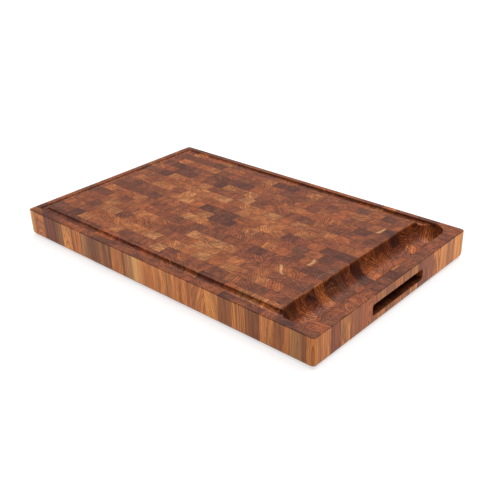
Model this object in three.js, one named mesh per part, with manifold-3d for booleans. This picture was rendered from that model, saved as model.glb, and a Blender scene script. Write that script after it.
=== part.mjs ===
// End-grain teak cutting board: nineteen glued strips, a juice groove on three sides that falls towards
// a deep half-round trough at the right end, and a blind hand slot in each end.
// Millimetres. +X to the trough end, +Y to the far long side, +Z up, origin at the centre of the underside.

import * as THREE from 'three';
import { mergeVertices } from 'three/addons/utils/BufferGeometryUtils.js';
import Module from 'manifold-3d';

// The trimmed blank
const LENGTH = 450;
const WIDTH = 280;
const THICKNESS = 35;
const CORNER_RADIUS = 4;
const TOP_EDGE_ROUND = 0.8;
const BOTTOM_EDGE_ROUND = 6;

// Strips lie side by side; the trim takes more off the far edge strip than off the near one
const STRIP_COUNT = 19;
const STRIP_PITCH = 15.44;
const NEAR_STRIP_WIDTH = 10.2;
const GLUE_LINE = 0.2;

// Juice groove: one round-nosed cutter, lowered steadily on its way to the trough
const GROOVE_RADIUS = 5;
const GROOVE_SHALLOW = 2.2;
const GROOVE_DEEP = 4.8;
const GROOVE_FROM_NEAR = 14.8;
const GROOVE_FROM_FAR = 11.9;
const GROOVE_FROM_LEFT = 12.2;

// Trough: a ball-nosed cutter sunk to its full radius
const TROUGH_RADIUS = 20;
const TROUGH_FROM_RIGHT = 35.6;

// Hand slots
const SLOT_LENGTH = 95;
const SLOT_HEIGHT = 13.2;
const SLOT_DEPTH = 15;
const SLOT_CORNER = 3;
const SLOT_CENTRE_Z = 17.8;
const SLOT_CENTRE_Y = 1.8;

const TONES = [0x9c5f3c, 0x8a5238, 0xab6c40, 0x7b4a36];
const SLOT_CORNER_STEPS = 6;
const OUTLINE_CORNER_STEPS = 3;
const EDGE_STEPS = 5;
const GROOVE_SIDES = 24;
const TROUGH_SIDES = 44;
const OVERCUT = 5;

const wasm = await Module();
wasm.setup();

// A closed three.js geometry as a solid, without the zero-area triangles at poles and seams
function solidFrom(geometry) {
  geometry.deleteAttribute('normal');
  geometry.deleteAttribute('uv');
  const merged = mergeVertices(geometry, 1e-4);
  const corners = merged.index.array;
  const kept = [];
  for (let i = 0; i < corners.length; i += 3) {
    const [a, b, c] = corners.slice(i, i + 3);
    if (a !== b && b !== c && c !== a) kept.push(a, b, c);
  }
  const vertProperties = new Float32Array(merged.attributes.position.array);
  const triVerts = new Uint32Array(kept);
  return new wasm.Manifold(new wasm.Mesh({ numProp: 3, vertProperties, triVerts }));
}

function geometryFrom(solid) {
  const mesh = solid.getMesh();
  const geometry = new THREE.BufferGeometry();
  geometry.setAttribute('position', new THREE.BufferAttribute(new Float32Array(mesh.vertProperties), 3));
  geometry.setIndex(new THREE.BufferAttribute(new Uint32Array(mesh.triVerts), 1));
  return geometry;
}

function roundedRectangle(width, height, radius) {
  const x = width / 2;
  const y = height / 2;
  const shape = new THREE.Shape();
  shape.moveTo(x - radius, -y);
  shape.absarc(x - radius, -y + radius, radius, -Math.PI / 2, 0);
  shape.absarc(x - radius, y - radius, radius, 0, Math.PI / 2);
  shape.absarc(-x + radius, y - radius, radius, Math.PI / 2, Math.PI);
  shape.absarc(-x + radius, -y + radius, radius, Math.PI, 1.5 * Math.PI);
  return shape;
}

// The board before it is carved: rounded rectangles at several heights, smaller towards both rims, and
// the solid that just encloses them
function blank() {
  const levels = [];
  for (let step = 0; step <= EDGE_STEPS; step += 1) {
    const angle = (Math.PI / 2) * (step / EDGE_STEPS);
    const inward = 1 - Math.sin(angle);
    const upright = 1 - Math.cos(angle);
    levels.push([BOTTOM_EDGE_ROUND * upright, BOTTOM_EDGE_ROUND * inward]);
    levels.push([THICKNESS - TOP_EDGE_ROUND * upright, TOP_EDGE_ROUND * inward]);
  }
  const points = levels.flatMap(([height, inset]) => {
    const outline = roundedRectangle(LENGTH - 2 * inset, WIDTH - 2 * inset, CORNER_RADIUS);
    return outline.getPoints(OUTLINE_CORNER_STEPS).map((point) => [point.x, point.y, height]);
  });
  return wasm.Manifold.hull(points);
}

// A round-nosed cut from one point to another: a cylinder with a ball at each end
function ballNosedCut(from, to, radius, sides) {
  const run = new THREE.Vector3().subVectors(to, from);
  const geometry = new THREE.CapsuleGeometry(radius, run.length(), sides / 4, sides);
  const turn = new THREE.Quaternion().setFromUnitVectors(new THREE.Vector3(0, 1, 0), run.normalize());
  geometry.applyQuaternion(turn);
  geometry.translate((from.x + to.x) / 2, (from.y + to.y) / 2, (from.z + to.z) / 2);
  return solidFrom(geometry);
}

function handSlot(endSign) {
  const geometry = new THREE.ExtrudeGeometry(roundedRectangle(SLOT_LENGTH, SLOT_HEIGHT, SLOT_CORNER), {
    depth: SLOT_DEPTH + OVERCUT,
    bevelEnabled: false,
    curveSegments: SLOT_CORNER_STEPS,
  });
  // The section's long side turns to Y and its short side to Z, so the extrusion runs along X
  geometry.rotateX(Math.PI / 2);
  geometry.rotateZ(Math.PI / 2);
  const innerEnd = endSign > 0 ? LENGTH / 2 - SLOT_DEPTH : -LENGTH / 2 - OVERCUT;
  geometry.translate(innerEnd, SLOT_CENTRE_Y, SLOT_CENTRE_Z);
  return solidFrom(geometry);
}

// Where the cutters' centres run
const shallowAxis = THICKNESS - GROOVE_SHALLOW + GROOVE_RADIUS;
const deepAxis = THICKNESS - GROOVE_DEEP + GROOVE_RADIUS;
const leftLine = -LENGTH / 2 + GROOVE_FROM_LEFT;
const nearLine = -WIDTH / 2 + GROOVE_FROM_NEAR;
const farLine = WIDTH / 2 - GROOVE_FROM_FAR;
const troughLine = LENGTH / 2 - TROUGH_FROM_RIGHT;
const nearLip = nearLine - GROOVE_RADIUS;
const farLip = farLine + GROOVE_RADIUS;

function carvedBoard() {
  const nearLeft = new THREE.Vector3(leftLine, nearLine, shallowAxis);
  const farLeft = new THREE.Vector3(leftLine, farLine, shallowAxis);
  const nearRight = new THREE.Vector3(troughLine, nearLine, deepAxis);
  const farRight = new THREE.Vector3(troughLine, farLine, deepAxis);
  const troughNear = new THREE.Vector3(troughLine, nearLip + TROUGH_RADIUS, THICKNESS);
  const troughFar = new THREE.Vector3(troughLine, farLip - TROUGH_RADIUS, THICKNESS);
  const cuts = [
    ballNosedCut(nearLeft, farLeft, GROOVE_RADIUS, GROOVE_SIDES),
    ballNosedCut(nearLeft, nearRight, GROOVE_RADIUS, GROOVE_SIDES),
    ballNosedCut(farLeft, farRight, GROOVE_RADIUS, GROOVE_SIDES),
    ballNosedCut(troughNear, troughFar, TROUGH_RADIUS, TROUGH_SIDES),
    handSlot(-1),
    handSlot(1),
  ];
  let board = blank();
  for (const cut of cuts) board = board.subtract(cut);
  return board;
}

// The near and far faces of a strip's box; the first and last boxes reach past the board's long sides
function stripSides(index) {
  const firstJoint = -WIDTH / 2 + NEAR_STRIP_WIDTH;
  const near = firstJoint + (index - 1) * STRIP_PITCH + GLUE_LINE / 2;
  const far = firstJoint + index * STRIP_PITCH - GLUE_LINE / 2;
  const nearest = index === 0 ? -WIDTH / 2 - OVERCUT : near;
  const farthest = index === STRIP_COUNT - 1 ? WIDTH / 2 + OVERCUT : far;
  return [nearest, farthest];
}

function strip(board, index) {
  const [near, far] = stripSides(index);
  const middle = (near + far) / 2;
  const geometry = new THREE.BoxGeometry(LENGTH + 2 * OVERCUT, far - near, THICKNESS + 2 * OVERCUT);
  geometry.translate(0, middle, THICKNESS / 2);
  const shape = geometryFrom(board.intersect(solidFrom(geometry)));
  shape.translate(0, -middle, 0);
  const teak = new THREE.MeshStandardMaterial({
    color: TONES[index % TONES.length],
    roughness: 0.5,
    metalness: 0,
  });
  const mesh = new THREE.Mesh(shape, teak);
  mesh.name = `strip_${String(index + 1).padStart(2, '0')}`;
  mesh.position.y = middle;
  return mesh;
}

const group = new THREE.Group();
const board = carvedBoard();
for (let index = 0; index < STRIP_COUNT; index += 1) {
  group.add(strip(board, index));
}

export default group;
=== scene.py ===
"""End-grain teak cutting board, block by block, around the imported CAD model.

The CAD model holds one plain solid for each glued strip. This script makes the same board at a finer
step, with every teak block of every strip as a solid of its own, and gives the blocks a wood material
that is worked out from each block's place in its log.

Lengths are in metres. Those in PANELS, in Stick and in the wood's attributes are in millimetres, as are the
ones whose names end in _MM.
"""

import math
import random

import bmesh
import bpy
import numpy as np
from mathutils import Matrix, Vector


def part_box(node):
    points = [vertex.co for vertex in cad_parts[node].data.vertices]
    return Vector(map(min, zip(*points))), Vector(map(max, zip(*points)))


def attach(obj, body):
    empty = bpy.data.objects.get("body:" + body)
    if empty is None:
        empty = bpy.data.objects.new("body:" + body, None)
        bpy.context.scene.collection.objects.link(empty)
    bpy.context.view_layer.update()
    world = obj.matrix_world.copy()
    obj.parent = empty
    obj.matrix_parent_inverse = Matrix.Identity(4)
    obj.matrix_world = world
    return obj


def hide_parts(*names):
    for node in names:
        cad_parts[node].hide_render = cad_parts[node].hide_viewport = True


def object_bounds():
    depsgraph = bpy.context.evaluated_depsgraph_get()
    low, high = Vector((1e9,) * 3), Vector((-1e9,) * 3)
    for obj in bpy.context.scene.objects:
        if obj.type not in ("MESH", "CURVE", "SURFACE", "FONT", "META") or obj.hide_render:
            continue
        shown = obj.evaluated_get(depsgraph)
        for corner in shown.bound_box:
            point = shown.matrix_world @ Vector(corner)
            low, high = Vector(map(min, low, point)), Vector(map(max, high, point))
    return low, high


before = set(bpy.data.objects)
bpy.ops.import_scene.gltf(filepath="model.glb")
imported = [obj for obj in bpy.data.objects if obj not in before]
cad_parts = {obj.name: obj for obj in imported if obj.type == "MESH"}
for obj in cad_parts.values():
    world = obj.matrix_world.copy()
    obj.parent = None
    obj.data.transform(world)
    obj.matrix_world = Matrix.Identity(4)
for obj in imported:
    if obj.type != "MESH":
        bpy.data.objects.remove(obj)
cad_low, cad_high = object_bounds()

MM = 0.001

# How far cutters and blocks reach past the board, and how close counts as touching
OVERCUT = 5 * MM
TOUCHING = 0.01 * MM

# The blank. Its outline and the strips' joints come from the frame.
CORNER_RADIUS = 4 * MM
TOP_EDGE_ROUND = 0.8 * MM
BOTTOM_EDGE_ROUND = 6 * MM
CORNER_STEPS = 12
EDGE_STEPS = 10

# Juice groove: one round-nosed cutter, lowered steadily on its way to the trough
GROOVE_RADIUS = 5 * MM
GROOVE_SHALLOW = 2.2 * MM
GROOVE_DEEP = 4.8 * MM
GROOVE_FROM_NEAR = 14.8 * MM
GROOVE_FROM_FAR = 11.9 * MM
GROOVE_FROM_LEFT = 12.2 * MM
GROOVE_SIDES = 96

# Trough: a ball-nosed cutter sunk to its full radius
TROUGH_RADIUS = 20 * MM
TROUGH_FROM_RIGHT = 35.6 * MM
TROUGH_SIDES = 160

# Hand slots
SLOT_LENGTH = 95 * MM
SLOT_HEIGHT = 13.2 * MM
SLOT_DEPTH = 15 * MM
SLOT_CORNER = 3 * MM
SLOT_CENTRE_Y = 1.8 * MM
SLOT_CENTRE_Z = 17.8 * MM

# Strips, and the blocks within them
STRIP_COUNT = len(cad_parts)
BLOCK_JOINT = 0.06 * MM
STRIP_JOINT = 0.08 * MM
WIDTH_SCATTER = 0.35 * MM
JOINT_SLANT = 0.3 * MM
SHORTEST_BLOCK = 2 * MM

# How far apart along the grain two strips of one panel, and two sticks, are taken to lie
CROSSCUT_MM = 37
STICK_SPACING_MM = 300

# How the sticks lay in their logs: distances from the pith, leans in degrees, ring widths from narrow to
# wide, how dark the ring lines are from faint to full, and how far past the stick's middle its sapwood starts
PITH_DISTANCES_MM = (12, 20, 30, 45, 70)
LEANS = (1, 2, 3, 4, 6, 8, 10, 13)
RING_WIDTHS_MM = (1.5, 3.4)
FIGURES = (0.65, 1.0)
SAPWOOD_START_MM = 5.0
FAR_AWAY_MM = 1000

# Each panel is the row of sticks that its strips were crosscut from, left to right, by the tone of the wood:
# D dark purple-brown, B brown, R red-brown, O orange, A amber, T tan, P pale tan, G greyish brown, W orange
# with sapwood. After it come the sticks' usual width, and each strip's number with the place of its first
# joint, measured from the board's left end.
PANELS = (
    ("TDDROORBDRRRBOBRRODRDRDRB", 18.6, {1: 12.4}),
    ("BDDDDBBORRBRROBODROTPTDBO", 18.6, {2: 3.4}),
    ("RGBDTOOTBRRPBORRBOBBRBOBB", 18.7, {3: 9.5, 13: 4.3}),
    ("OOOROOTTTPOTTPOTOTOROOR", 20.25, {4: 6.8, 12: 2.2}),
    ("OORBTTBOOORROPTOTRORBGBRO", 18.7, {5: 6.5}),
    ("RRRRTOOTTORBPTPTRRRWORARO", 18.6, {6: 2.2}),
    ("BBBOBOORRBRBRBRRDRRRDGRRR", 18.6, {7: 9.8}),
    ("ORTROTORROPTORROOTOBWBGBBB", 18.2, {8: 2.8}),
    ("OBBBBDOOROTDDRTRORGODRRDB", 18.4, {9: 12.8, 17: 10.8}),
    ("ORBRROTPODBDOOTTDRODDDDD", 18.7, {10: 17.5}),
    ("ORTOTTRPTOORTTTTOTOROOATBB", 18.8, {11: 5.0}),
    ("TORBDOBDTOPBROTOOOODBRORR", 18.7, {14: 16.7}),
    ("OBDDBRBDDDOROBOROORBWDRDR", 18.2, {15: 16.8}),
    ("ORTOOTBRBBOOBRORBOTOROAOR", 18.5, {16: 14.5, 18: 13.5}),
    ("BBBBBBRTBOROROOOTORTRBBRO", 18.6, {19: 8.0}),
)

# Linear colours of freshly oiled end grain
END_TONES = {
    "D": (0.129, 0.031, 0.012),
    "B": (0.191, 0.049, 0.016),
    "R": (0.242, 0.061, 0.019),
    "O": (0.319, 0.085, 0.022),
    "T": (0.402, 0.130, 0.036),
    "P": (0.484, 0.180, 0.057),
    "A": (0.464, 0.127, 0.031),
    "G": (0.180, 0.056, 0.024),
    "W": (0.319, 0.089, 0.024),
}
TONE_SCATTER = 0.12

# The same sticks along the grain, where teak is paler: P pale, L light tan, T tan, O orange, R red-brown,
# B brown and D dark. The blocks of the near face run left to right, and those of the right end run from the
# near side to the far one.
SIDE_TONES = {
    "P": (0.920, 0.430, 0.130),
    "L": (0.750, 0.287, 0.065),
    "T": (0.561, 0.183, 0.039),
    "O": (0.509, 0.150, 0.028),
    "R": (0.395, 0.108, 0.026),
    "B": (0.382, 0.112, 0.026),
    "D": (0.245, 0.052, 0.012),
}
SIDE_OF_END = {"D": "R", "B": "B", "R": "T", "O": "O", "T": "L", "P": "P", "A": "L", "G": "T", "W": "L"}
NEAR_FACE = "PODLLOPBTOPDTTRTTLTTBTOPP"
RIGHT_FACE = "OTDTRRRTBTBTDROLTLL"

# Faces that meet at more than this many degrees keep a sharp edge
SHARP_ANGLE = 32

# Camera: where it looks, how far off, and its angles in degrees
CAMERA_TARGET = Vector((66.2 * MM, -48.9 * MM, 35 * MM))
CAMERA_DISTANCE = 829.6 * MM
CAMERA_AZIMUTH = 42.80
CAMERA_ELEVATION = 27.92
CAMERA_ROLL = -2.04
CAMERA_LENS_MM = 54.35


# ---- Solids ----------------------------------------------------------------------------------------


def loft(rings):
    """Corners and faces of a closed solid whose cross-sections are the rings, with flat ends."""
    count = len(rings[0])
    corners = [point for ring in rings for point in ring]
    faces = [list(range(count))[::-1]]
    for start in range(0, count * (len(rings) - 1), count):
        for i in range(count):
            following = (i + 1) % count
            faces.append([start + i, start + following, start + count + following, start + count + i])
    faces.append(list(range(len(corners) - count, len(corners))))
    return corners, faces


def solid(name, parts):
    """One object from one or more lofts, with every face pointing outwards."""
    corners = []
    faces = []
    for part_corners, part_faces in parts:
        shift = len(corners)
        corners += part_corners
        faces += [[shift + i for i in face] for face in part_faces]
    mesh = bpy.data.meshes.new(name)
    mesh.from_pydata(corners, [], faces)
    work = bmesh.new()
    work.from_mesh(mesh)
    bmesh.ops.recalc_face_normals(work, faces=work.faces)
    work.to_mesh(mesh)
    work.free()
    made = bpy.data.objects.new(name, mesh)
    bpy.context.scene.collection.objects.link(made)
    return made


def rounded_rectangle(half_width, half_height, radius):
    """Points of a rectangle with rounded corners, anticlockwise, as flat (across, up) pairs."""
    points = []
    centres = ((1, -1), (1, 1), (-1, 1), (-1, -1))
    for quarter, (side, end) in enumerate(centres):
        for step in range(CORNER_STEPS + 1):
            angle = math.radians(90) * (quarter - 1 + step / CORNER_STEPS)
            across = side * (half_width - radius) + radius * math.cos(angle)
            up = end * (half_height - radius) + radius * math.sin(angle)
            points.append((across, up))
    return points


def blank():
    """The board before it is carved: rounded rectangles stacked up, smaller towards both rims."""
    half_length = (cad_high.x - cad_low.x) / 2
    half_width = (cad_high.y - cad_low.y) / 2
    levels = []
    for step in range(EDGE_STEPS + 1):
        angle = math.radians(90) * step / EDGE_STEPS
        inset = BOTTOM_EDGE_ROUND * (1 - math.sin(angle))
        levels.append((cad_low.z + BOTTOM_EDGE_ROUND * (1 - math.cos(angle)), inset))
    for step in range(EDGE_STEPS + 1):
        angle = math.radians(90) * step / EDGE_STEPS
        inset = TOP_EDGE_ROUND * (1 - math.cos(angle))
        levels.append((cad_high.z - TOP_EDGE_ROUND * (1 - math.sin(angle)), inset))
    rings = []
    for height, inset in levels:
        outline = rounded_rectangle(half_length - inset, half_width - inset, CORNER_RADIUS)
        rings.append([Vector((x, y, height)) for x, y in outline])
    return solid("board", [loft(rings)])


def ball_nosed_cut(start, end, radius, sides):
    """What a ball-nosed cutter sweeps out from start to end."""
    along = (end - start).normalized()
    across = along.orthogonal().normalized()
    up = along.cross(across)
    half_turns = [math.pi * (step + 0.5) / sides for step in range(sides)]
    rings = []
    for turn in half_turns:
        centre = start if turn < math.pi / 2 else end
        reach = -radius * math.cos(turn)
        width = radius * math.sin(turn)
        ring = []
        for step in range(sides):
            angle = 2 * math.pi * step / sides
            sideways = across * math.cos(angle) + up * math.sin(angle)
            ring.append(centre + along * reach + sideways * width)
        rings.append(ring)
    return solid("cutter", [loft(rings)])


def hand_slot(end_sign):
    """The blind slot's cutter, at the right end for 1 and at the left end for -1."""
    outer_end = cad_high.x if end_sign > 0 else cad_low.x
    outline = rounded_rectangle(SLOT_LENGTH / 2, SLOT_HEIGHT / 2, SLOT_CORNER)
    rings = []
    for x in (outer_end - end_sign * SLOT_DEPTH, outer_end + end_sign * OVERCUT):
        rings.append([Vector((x, SLOT_CENTRE_Y + y, SLOT_CENTRE_Z + z)) for y, z in outline])
    return solid("cutter", [loft(rings)])


def cut(target, tool, operation):
    """Applies one boolean to the target's mesh."""
    modifier = target.modifiers.new("cut", "BOOLEAN")
    modifier.operation = operation
    modifier.solver = "MANIFOLD"
    modifier.object = tool
    graph = bpy.context.evaluated_depsgraph_get()
    result = bpy.data.meshes.new_from_object(target.evaluated_get(graph))
    target.modifiers.remove(modifier)
    target.data = result


def carved_board():
    """The blank with its juice groove, trough and hand slots cut."""
    left = cad_low.x + GROOVE_FROM_LEFT
    near = cad_low.y + GROOVE_FROM_NEAR
    far = cad_high.y - GROOVE_FROM_FAR
    right = cad_high.x - TROUGH_FROM_RIGHT
    shallow = cad_high.z - GROOVE_SHALLOW + GROOVE_RADIUS
    deep = cad_high.z - GROOVE_DEEP + GROOVE_RADIUS
    near_left = Vector((left, near, shallow))
    far_left = Vector((left, far, shallow))
    near_right = Vector((right, near, deep))
    far_right = Vector((right, far, deep))
    trough_near = Vector((right, near - GROOVE_RADIUS + TROUGH_RADIUS, cad_high.z))
    trough_far = Vector((right, far + GROOVE_RADIUS - TROUGH_RADIUS, cad_high.z))
    cutters = [
        ball_nosed_cut(near_left, far_left, GROOVE_RADIUS, GROOVE_SIDES),
        ball_nosed_cut(near_left, near_right, GROOVE_RADIUS, GROOVE_SIDES),
        ball_nosed_cut(far_left, far_right, GROOVE_RADIUS, GROOVE_SIDES),
        ball_nosed_cut(trough_near, trough_far, TROUGH_RADIUS, TROUGH_SIDES),
        hand_slot(-1),
        hand_slot(1),
    ]
    board = blank()
    for cutter in cutters:
        cut(board, cutter, "DIFFERENCE")
        bpy.data.objects.remove(cutter)
    return board


# ---- Sticks and blocks -----------------------------------------------------------------------------


class Stick:
    """One long stick of teak: its tone, and how it lay in the log it was sawn from."""

    def __init__(self, number, letter, dice):
        self.number = number
        shade = 1 + dice.uniform(-TONE_SCATTER, TONE_SCATTER)
        warmth = 1 + dice.uniform(-TONE_SCATTER, TONE_SCATTER) / 2
        self.letter = letter
        self.shade = Vector((shade * warmth, shade, shade / warmth))
        bearing = dice.uniform(0, 2 * math.pi)
        distance = dice.choice(PITH_DISTANCES_MM) * dice.uniform(0.8, 1.3)
        self.pith = Vector((distance * math.cos(bearing), distance * math.sin(bearing), 0))
        lean = dice.choice(LEANS)
        self.lean_x = math.tan(math.radians(lean)) * dice.uniform(-1, 1)
        self.lean_y = math.tan(math.radians(lean)) * dice.uniform(-1, 1)
        self.ring_width = dice.uniform(*RING_WIDTHS_MM)
        self.figure = dice.uniform(*FIGURES)
        self.sapwood_from = distance + SAPWOOD_START_MM if letter == "W" else FAR_AWAY_MM


class Strip:
    """A row of blocks between two strip joints, crosscut from one panel."""

    def __init__(self, number, near, far, sticks, joints, slants, order):
        self.number = number
        self.near = near
        self.far = far
        self.sticks = sticks
        self.joints = joints
        self.slants = slants
        self.order = order

    def row(self):
        """The blocks as plain prisms, which reach past the board where they meet its outside."""
        near = self.near - OVERCUT if self.number == 1 else self.near
        far = self.far + OVERCUT if self.number == STRIP_COUNT else self.far
        middle = (self.near + self.far) / 2
        half_gap = BLOCK_JOINT / 2
        blocks = []
        for left, right, left_slant, right_slant in zip(
            self.joints, self.joints[1:], self.slants, self.slants[1:]
        ):
            ends = []
            for y in (near, far):
                reach = (y - middle) / (far - near)
                ends.append((left + left_slant * reach + half_gap, right + right_slant * reach - half_gap, y))
            (near_left, near_right, _), (far_left, far_right, _) = ends
            rings = []
            for z in (cad_low.z - OVERCUT, cad_high.z + OVERCUT):
                rings.append(
                    [
                        Vector((near_left, near, z)),
                        Vector((near_right, near, z)),
                        Vector((far_right, far, z)),
                        Vector((far_left, far, z)),
                    ]
                )
            blocks.append(loft(rings))
        return solid(f"teak_strip_{self.number:02d}", blocks)


def plan_strips():
    """Lays the panels' sticks out along their strips, with a thinner glue line than the CAD solids keep."""
    cad_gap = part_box("strip_02")[0].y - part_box("strip_01")[1].y
    spread = (cad_gap - STRIP_JOINT) / 2
    strips = []
    stick_number = 0
    for panel, (letters, width, places) in enumerate(PANELS):
        dice = random.Random(f"panel {panel}")
        sticks = []
        for letter in letters:
            stick_number += 1
            sticks.append(Stick(stick_number, letter, dice))
        scatter = [dice.uniform(-WIDTH_SCATTER, WIDTH_SCATTER) for _ in letters]
        slants = [dice.gauss(0, JOINT_SLANT) for _ in letters] + [0]
        slants[0] = 0
        for order, (number, first_joint) in enumerate(places.items()):
            low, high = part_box(f"strip_{number:02d}")
            near = low.y if number == 1 else low.y - spread
            far = high.y if number == STRIP_COUNT else high.y + spread
            start = cad_low.x + (first_joint - width) * MM
            joints = [start + step * width * MM + nudge for step, nudge in enumerate(scatter)]
            joints = [joint for joint in joints if joint < cad_high.x - SHORTEST_BLOCK]
            used = len(joints)
            joints[0] = cad_low.x - OVERCUT
            joints.append(cad_high.x + OVERCUT)
            strip_slants = slants[:used] + [0]
            strips.append(Strip(number, near, far, sticks[:used], joints, strip_slants, order))
    return sorted(strips, key=lambda strip: strip.number)


def side_letters(strip):
    """The tone of each block where the board's side cuts it along the grain."""
    letters = [SIDE_OF_END[stick.letter] for stick in strip.sticks]
    if strip.number == 1:
        letters = list(NEAR_FACE[: len(letters)])
    letters[-1] = RIGHT_FACE[strip.number - 1]
    return letters


def describe_wood(piece, strip):
    """Writes what the wood material reads: for each corner, its place in the log and in its block."""
    mesh = piece.data
    count = len(mesh.vertices)
    flat = np.zeros(count * 3, np.float32)
    mesh.vertices.foreach_get("co", flat)
    place = flat.reshape(-1, 3).astype(float)
    middle = (strip.near + strip.far) / 2
    depth = strip.far - strip.near
    reach = (place[:, 1] - middle) / depth
    joints = np.array(strip.joints)
    slants = np.array(strip.slants)
    from_joint = place[:, 0][:, None] - joints[None, :] - slants[None, :] * reach[:, None]
    block = np.clip((from_joint > 0).sum(axis=1) - 1, 0, len(strip.sticks) - 1)

    rows = np.arange(count)
    to_left = np.abs(from_joint[rows, block]) / MM
    to_right = np.abs(from_joint[rows, block + 1]) / MM
    to_near = (place[:, 1] - strip.near) / MM
    to_far = (strip.far - place[:, 1]) / MM
    if strip.number == 1:
        to_near[:] = FAR_AWAY_MM
    if strip.number == STRIP_COUNT:
        to_far[:] = FAR_AWAY_MM

    centres = (joints[:-1] + joints[1:]) / 2
    pith = np.array([stick.pith for stick in strip.sticks])[block]
    lean = np.array([(stick.lean_x, stick.lean_y) for stick in strip.sticks])[block]
    numbers = np.array([stick.number for stick in strip.sticks])[block]
    height = (place[:, 2] - cad_low.z) / MM
    grain = np.zeros((count, 3))
    grain[:, 0] = (place[:, 0] - centres[block]) / MM - pith[:, 0] - lean[:, 0] * height
    grain[:, 1] = (place[:, 1] - middle) / MM - pith[:, 1] - lean[:, 1] * height
    grain[:, 2] = height + strip.order * CROSSCUT_MM + numbers * STICK_SPACING_MM

    def write(name, kind, field, values):
        attribute = mesh.attributes.new(name, kind, "POINT")
        attribute.data.foreach_set(field, np.ascontiguousarray(values, np.float32).ravel())

    def per_block(values):
        return np.array(values)[block]

    shades = [stick.shade for stick in strip.sticks]
    end_tones = [END_TONES[stick.letter] for stick in strip.sticks]
    side_tones = [SIDE_TONES[letter] for letter in side_letters(strip)]
    # How deep each corner lies in a hand slot, which the material turns into painted shade
    in_slot = np.abs(place[:, 2] - SLOT_CENTRE_Z) < SLOT_HEIGHT / 2 + TOUCHING
    in_slot &= np.abs(place[:, 1] - SLOT_CENTRE_Y) < SLOT_LENGTH / 2 + TOUCHING
    from_end = np.minimum(place[:, 0] - cad_low.x, cad_high.x - place[:, 0])
    in_slot &= from_end < SLOT_DEPTH + TOUCHING
    recess = np.where(in_slot, from_end / MM, 0)
    write("grain", "FLOAT_VECTOR", "vector", grain)
    write("recess", "FLOAT", "value", recess)
    write("end_tone", "FLOAT_VECTOR", "vector", per_block(np.multiply(end_tones, shades)))
    write("side_tone", "FLOAT_VECTOR", "vector", per_block(np.multiply(side_tones, shades)))
    write("ends", "FLOAT_VECTOR", "vector", np.stack([to_left, to_right, numbers], axis=1))
    write("flanks", "FLOAT_VECTOR", "vector", np.stack([to_near, to_far, to_far], axis=1))
    figures = [(stick.ring_width, stick.figure, stick.sapwood_from) for stick in strip.sticks]
    write("figure", "FLOAT_VECTOR", "vector", per_block(figures))


# ---- Wood material ---------------------------------------------------------------------------------


class Graph:
    """Short calls for building a node tree. Arguments are sockets, numbers or tuples."""

    def __init__(self, tree):
        self.tree = tree
        self.tree.nodes.clear()

    def node(self, kind, **settings):
        made = self.tree.nodes.new(kind)
        for name, value in settings.items():
            setattr(made, name, value)
        return made

    def feed(self, socket, value):
        if isinstance(value, bpy.types.NodeSocket):
            self.tree.links.new(value, socket)
        elif socket.type == "RGBA" and len(value) == 3:
            socket.default_value = (*value, 1)
        else:
            socket.default_value = value

    def attribute(self, name, output="Vector"):
        return self.node("ShaderNodeAttribute", attribute_name=name).outputs[output]

    def math(self, operation, *values, clamp=False):
        made = self.node("ShaderNodeMath", operation=operation, use_clamp=clamp)
        for socket, value in zip(made.inputs, values):
            self.feed(socket, value)
        return made.outputs[0]

    def vector(self, operation, *values, output="Vector"):
        made = self.node("ShaderNodeVectorMath", operation=operation)
        for socket, value in zip(made.inputs, values):
            self.feed(socket, value)
        return made.outputs[output]

    def split(self, vector):
        made = self.node("ShaderNodeSeparateXYZ")
        self.feed(made.inputs[0], vector)
        return made.outputs

    def join(self, x, y, z):
        made = self.node("ShaderNodeCombineXYZ")
        for socket, value in zip(made.inputs, (x, y, z)):
            self.feed(socket, value)
        return made.outputs[0]

    def ramp(self, value, low, high, bottom=0.0, top=1.0):
        """Goes smoothly from bottom to top while the value goes from low to high."""
        made = self.node("ShaderNodeMapRange", interpolation_type="SMOOTHSTEP")
        for socket, number in zip(made.inputs, (value, low, high, bottom, top)):
            self.feed(socket, number)
        return made.outputs[0]

    def noise(self, place, stretch, detail=2.0, roughness=0.5, output=0):
        """Noise whose features are about 1 / stretch mm across on each axis."""
        made = self.node("ShaderNodeTexNoise")
        self.feed(made.inputs["Vector"], self.vector("MULTIPLY", place, stretch))
        self.feed(made.inputs["Scale"], 1.0)
        self.feed(made.inputs["Detail"], detail)
        self.feed(made.inputs["Roughness"], roughness)
        return made.outputs[output]

    def dots(self, place, stretch):
        """Distance from the nearest of scattered points, about 1 / stretch mm apart on each axis."""
        made = self.node("ShaderNodeTexVoronoi")
        self.feed(made.inputs["Vector"], self.vector("MULTIPLY", place, stretch))
        self.feed(made.inputs["Scale"], 1.0)
        return made.outputs["Distance"]

    def dice(self, value):
        """The same random number for the same value."""
        made = self.node("ShaderNodeTexWhiteNoise", noise_dimensions="1D")
        self.feed(made.inputs["W"], value)
        return made.outputs["Value"]

    def mix(self, amount, first, second, blend="MIX"):
        made = self.node("ShaderNodeMix", data_type="RGBA", blend_type=blend)
        self.feed(made.inputs[0], amount)
        self.feed(made.inputs[6], first)
        self.feed(made.inputs[7], second)
        return made.outputs[2]

    def scale(self, colour, amount):
        return self.vector("SCALE", colour, (0, 0, 0), (0, 0, 0), amount)


# The sapwood's own colour, what the others multiply the wood's colour by, and the lightest that wood gets
SAPWOOD = (0.54, 0.275, 0.105)
RING_LINE = (0.17, 0.12, 0.13)
DARK_BAND = (0.70, 0.62, 0.60)
PALE_BAND = (1.33, 1.37, 1.30)
PORE = (0.50, 0.42, 0.40)
DARK_STAIN = (0.76, 0.70, 0.73)
PALE_STAIN = (1.18, 1.20, 1.18)
GLUE = (0.40, 0.32, 0.30)
# Painted shade deep inside the hand slots
SLOT_PAINTED_SHADE = (0.16, 0.10, 0.10)
LIGHTEST = (0.95, 0.95, 0.95)
BUMP_STRENGTH = 0.35
BUMP_DEPTH = 0.12 * MM
OILED_TEAK_IOR = 1.48


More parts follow.
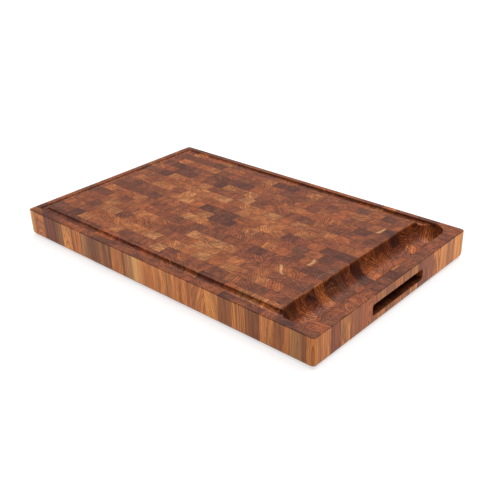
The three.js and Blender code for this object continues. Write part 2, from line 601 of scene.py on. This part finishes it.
def teak_material():
    """Oiled teak. Every pattern is a solid texture in the log's own coordinates, so rings on the end grain
    run on as lines down the sides."""
    material = bpy.data.materials.new("teak")
    material.use_nodes = True
    g = Graph(material.node_tree)
    grain = g.attribute("grain")
    to_left, to_right, stick = g.split(g.attribute("ends"))
    to_near, to_far, _ = g.split(g.attribute("flanks"))
    ring_width, figure, sapwood_from = g.split(g.attribute("figure"))

    # Rings about the pith, which wander a little
    wander = g.vector("SUBTRACT", g.noise(grain, (0.06, 0.06, 0.018), output=1), (0.5, 0.5, 0.5))
    ripple = g.vector("SUBTRACT", g.noise(grain, (0.5, 0.5, 0.02), output=1), (0.5, 0.5, 0.5))
    wandering = g.vector("MULTIPLY", wander, (7.0, 7.0, 0.0))
    rippling = g.vector("MULTIPLY", ripple, (1.0, 1.0, 0.0))
    wood = g.vector("ADD", grain, g.vector("ADD", wandering, rippling))
    radius = g.vector("LENGTH", g.vector("MULTIPLY", wood, (1, 1, 0)), output="Value")
    rings = g.math("DIVIDE", radius, ring_width)
    ring = g.math("FLOOR", rings)
    phase = g.math("FRACT", rings)
    ring_chance = g.dice(g.math("ADD", ring, g.math("MULTIPLY", stick, 31.7)))
    late_wood = g.math("MULTIPLY", g.ramp(phase, 0.35, 0.88), g.ramp(phase, 0.92, 1.0, 1.0, 0.0))
    early_wood = g.ramp(phase, 0.05, 0.45, 1.0, 0.0)
    line = g.math("MULTIPLY", late_wood, g.math("MULTIPLY", g.ramp(ring_chance, 0.0, 1.0, 0.40, 1.0), figure))

    # Bands of several rings, darker or paler, which run down the sides as stripes
    height = g.math("MULTIPLY", g.split(grain)[2], 0.004)
    ring_place = g.join(radius, g.math("MULTIPLY", stick, 9.1), height)
    band = g.ramp(g.noise(ring_place, (0.38, 1.0, 1.0), detail=2.5, roughness=0.6), 0.30, 0.70)

    # Vessels, dots on the end grain and fine grooves down the sides
    vessel = g.ramp(g.dots(grain, (1.4, 1.4, 0.02)), 0.14, 0.36, 1.0, 0.0)
    vessels = g.math("MULTIPLY", vessel, g.math("MULTIPLY_ADD", early_wood, 0.6, 0.4))

    # Fibres, and broad clouds of colour
    fibre = g.noise(grain, (1.5, 1.5, 0.03), detail=4.0, roughness=0.65)
    cloud = g.noise(grain, (0.11, 0.11, 0.004), detail=3.0)
    speckle = g.ramp(fibre, 0.25, 0.75, 0.66, 1.34)
    shading = g.math("MULTIPLY", speckle, g.ramp(cloud, 0.25, 0.75, 0.78, 1.22))

    def figured(tone, band_share, line_share, pale_share):
        colour = g.scale(tone, shading)
        banded = g.mix(band, g.vector("MULTIPLY", colour, DARK_BAND), g.vector("MULTIPLY", colour, PALE_BAND))
        colour = g.mix(band_share, colour, banded)
        pale = g.math("MULTIPLY", g.math("MULTIPLY", early_wood, ring_chance), pale_share)
        colour = g.mix(pale, colour, g.vector("MULTIPLY", colour, PALE_BAND))
        return g.mix(g.math("MULTIPLY", line, line_share), colour, g.vector("MULTIPLY", colour, RING_LINE))

    # Along the grain teak is paler than across it, and a slanting cut is darkest
    end = figured(g.attribute("end_tone"), 0.85, 1.0, 0.80)
    fleck = g.ramp(g.noise(grain, (0.75, 0.75, 0.03), detail=2.0, roughness=0.6), 0.30, 0.70, 0.62, 1.38)
    stain = g.ramp(g.noise(grain, (0.20, 0.20, 0.01), detail=4.0, roughness=0.6), 0.32, 0.68)
    end = g.scale(g.vector("MULTIPLY", end, g.mix(stain, DARK_STAIN, PALE_STAIN)), fleck)
    side = figured(g.attribute("side_tone"), 0.85, 0.65, 0.40)
    facing = g.split(g.node("ShaderNodeNewGeometry").outputs["Normal"])[2]
    across_grain = g.math("MAXIMUM", g.ramp(facing, 0.02, 0.14), g.ramp(facing, -0.95, -0.60, 1.0, 0.0))
    colour = g.mix(across_grain, side, end)
    # Painted shade: faces turned downwards, such as the lower rounding, are darkened
    colour = g.scale(colour, g.ramp(facing, -0.7, -0.05, 0.62, 1.0))
    oblique = g.math("MULTIPLY", g.ramp(facing, 0.10, 0.45), g.ramp(facing, 0.75, 0.985, 1.0, 0.0))
    colour = g.mix(g.math("MULTIPLY", oblique, 0.40), colour, g.vector("MULTIPLY", colour, GLUE))

    # Some sticks have a thin band of pale sapwood
    past_heart = g.math("SUBTRACT", radius, sapwood_from)
    sapwood = g.math("MULTIPLY", g.ramp(past_heart, -0.5, 0.8), g.ramp(past_heart, 2.2, 3.6, 1.0, 0.0))
    colour = g.mix(sapwood, colour, g.scale(SAPWOOD, shading))
    colour = g.mix(g.math("MULTIPLY", vessels, 0.55), colour, g.vector("MULTIPLY", colour, PORE))

    # Oil and dust darken the hand slots
    # Painted shade: the hand slots get darker the deeper they go
    recess = g.ramp(g.attribute("recess", "Fac"), 0.5, 13.0, 0.0, 0.80)
    colour = g.mix(recess, colour, g.vector("MULTIPLY", colour, SLOT_PAINTED_SHADE))

    # Glue lines
    end_line = g.ramp(g.math("MINIMUM", to_left, to_right), 0.05, 0.46, 0.68, 0.0)
    flank_line = g.ramp(g.math("MINIMUM", to_near, to_far), 0.05, 0.46, 0.68, 0.0)
    glue = g.math("MAXIMUM", end_line, flank_line)
    colour = g.mix(glue, colour, g.vector("MULTIPLY", colour, GLUE))
    colour = g.vector("MINIMUM", colour, LIGHTEST)

    relief = g.math("MULTIPLY_ADD", line, 0.25, g.math("MULTIPLY", fibre, 0.5))
    relief = g.math("MULTIPLY_ADD", vessels, -1.0, relief)
    relief = g.math("MULTIPLY_ADD", glue, -0.8, relief)
    bump = g.node("ShaderNodeBump")
    g.feed(bump.inputs["Strength"], BUMP_STRENGTH)
    g.feed(bump.inputs["Distance"], BUMP_DEPTH)
    g.feed(bump.inputs["Height"], relief)

    roughness = g.math("ADD", g.ramp(fibre, 0.2, 0.8, 0.40, 0.54), g.math("MULTIPLY", vessels, 0.15))
    roughness = g.math("MULTIPLY_ADD", oblique, 0.25, roughness)
    gloss = g.math("MULTIPLY_ADD", oblique, -0.2, g.math("MULTIPLY_ADD", across_grain, 0.08, 0.30))
    shader = g.node("ShaderNodeBsdfPrincipled")
    g.feed(shader.inputs["Base Color"], colour)
    g.feed(shader.inputs["Roughness"], roughness)
    g.feed(shader.inputs["IOR"], OILED_TEAK_IOR)
    g.feed(shader.inputs["Specular IOR Level"], gloss)
    g.feed(shader.inputs["Normal"], bump.outputs[0])
    output = g.node("ShaderNodeOutputMaterial")
    g.feed(output.inputs["Surface"], shader.outputs[0])
    return material


def shade_smoothly(piece):
    """Smooth where the surface curves, sharp at the edges, and flat on the flats."""
    piece.data.shade_smooth()
    piece.data.set_sharp_from_angle(angle=math.radians(SHARP_ANGLE))
    modifier = piece.modifiers.new("normals", "WEIGHTED_NORMAL")
    modifier.keep_sharp = True
    modifier.weight = 100
    graph = bpy.context.evaluated_depsgraph_get()
    result = bpy.data.meshes.new_from_object(piece.evaluated_get(graph))
    piece.modifiers.remove(modifier)
    piece.data = result


# ---- The board -------------------------------------------------------------------------------------


def build_board():
    """One object for each glued strip: its blocks, cut to the carved board's shape."""
    board = carved_board()
    teak = teak_material()
    for strip in plan_strips():
        piece = strip.row()
        cut(piece, board, "INTERSECT")
        describe_wood(piece, strip)
        shade_smoothly(piece)
        piece.data.name = piece.name
        piece.data.materials.clear()
        piece.data.materials.append(teak)
        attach(piece, "root")
        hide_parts(f"strip_{strip.number:02d}")
    bpy.data.objects.remove(board)


# ---- Floor, light and camera -----------------------------------------------------------------------

# A pale floor lit from below, as on a light table, under one large overhead softbox in a dim room
FLOOR_HALF_SIZE = 6.0
FLOOR_GAP = 0.05 * MM
FLOOR_COLOUR = (0.45, 0.45, 0.45)
FLOOR_GLOW = 0.65
SUN_STRENGTH = 2.9
SUN_ANGLE = 65
SUN_AZIMUTH = 100
SUN_ELEVATION = 79
SKY_HORIZON = 1.0
SKY_FRONT = 0.18
SKY_BACK = 0.32


def build_floor():
    """A pale glowing floor just below the board."""
    half = FLOOR_HALF_SIZE
    corners = [(-half, -half, 0), (half, -half, 0), (half, half, 0), (-half, half, 0)]
    mesh = bpy.data.meshes.new("floor")
    mesh.from_pydata(corners, [], [[0, 1, 2, 3]])
    floor = bpy.data.objects.new("floor", mesh)
    floor.location.z = cad_low.z - FLOOR_GAP
    bpy.context.scene.collection.objects.link(floor)
    paint = bpy.data.materials.new("studio_floor")
    paint.use_nodes = True
    g = Graph(paint.node_tree)
    shader = g.node("ShaderNodeBsdfPrincipled")
    g.feed(shader.inputs["Base Color"], FLOOR_COLOUR)
    g.feed(shader.inputs["Roughness"], 0.9)
    g.feed(shader.inputs["Specular IOR Level"], 0.0)
    g.feed(shader.inputs["Emission Color"], (1.0, 1.0, 1.0))
    g.feed(shader.inputs["Emission Strength"], FLOOR_GLOW)
    output = g.node("ShaderNodeOutputMaterial")
    g.feed(output.inputs["Surface"], shader.outputs[0])
    mesh.materials.append(paint)


def heading(azimuth, elevation):
    """The unit vector towards that azimuth (0 looks along +X, anticlockwise) and elevation, in degrees."""
    a = math.radians(azimuth)
    e = math.radians(elevation)
    return Vector((math.cos(a) * math.cos(e), math.sin(a) * math.cos(e), math.sin(e)))


def build_light():
    """The overhead softbox, and a dim room whose horizon glows like the floor."""
    sun_data = bpy.data.lights.new("softbox", "SUN")
    sun_data.energy = SUN_STRENGTH
    sun_data.angle = math.radians(SUN_ANGLE)
    sun = bpy.data.objects.new("softbox", sun_data)
    sun.rotation_euler = heading(SUN_AZIMUTH, SUN_ELEVATION).to_track_quat("Z", "Y").to_euler()
    bpy.context.scene.collection.objects.link(sun)

    world = bpy.data.worlds.new("studio")
    world.use_nodes = True
    g = Graph(world.node_tree)
    direction = g.node("ShaderNodeTexCoord").outputs["Generated"]
    backness = g.vector("DOT_PRODUCT", direction, heading(SUN_AZIMUTH, 10), output="Value")
    room = g.ramp(backness, -0.4, 0.9, SKY_FRONT, SKY_BACK)
    horizon = g.ramp(g.split(direction)[2], 0.06, 0.14, SKY_HORIZON, 0.0)
    strength = g.math("MAXIMUM", room, horizon)
    sky = g.node("ShaderNodeBackground")
    g.feed(sky.inputs["Color"], (1.0, 1.0, 1.0))
    g.feed(sky.inputs["Strength"], strength)
    output = g.node("ShaderNodeOutputWorld")
    g.feed(output.inputs["Surface"], sky.outputs[0])
    bpy.context.scene.world = world


def build_camera():
    """A camera set out from its target by distance, azimuth and elevation, then rolled."""
    back = heading(CAMERA_AZIMUTH - 90, CAMERA_ELEVATION)
    right = (-back).cross(Vector((0, 0, 1))).normalized()
    up = right.cross(-back)
    roll = math.radians(CAMERA_ROLL)
    tilted_right = right * math.cos(roll) + up * math.sin(roll)
    tilted_up = up * math.cos(roll) - right * math.sin(roll)
    lens = bpy.data.cameras.new("camera")
    lens.lens = CAMERA_LENS_MM
    lens.sensor_width = 36
    lens.clip_start = 0.01
    camera = bpy.data.objects.new("camera", lens)
    turn = Matrix((tilted_right, tilted_up, back)).transposed().to_4x4()
    camera.matrix_world = Matrix.Translation(CAMERA_TARGET + back * CAMERA_DISTANCE) @ turn
    bpy.context.scene.collection.objects.link(camera)
    bpy.context.scene.camera = camera


build_camera()
build_board()
build_floor()
build_light()
bpy.context.scene.view_settings.view_transform = "Standard"
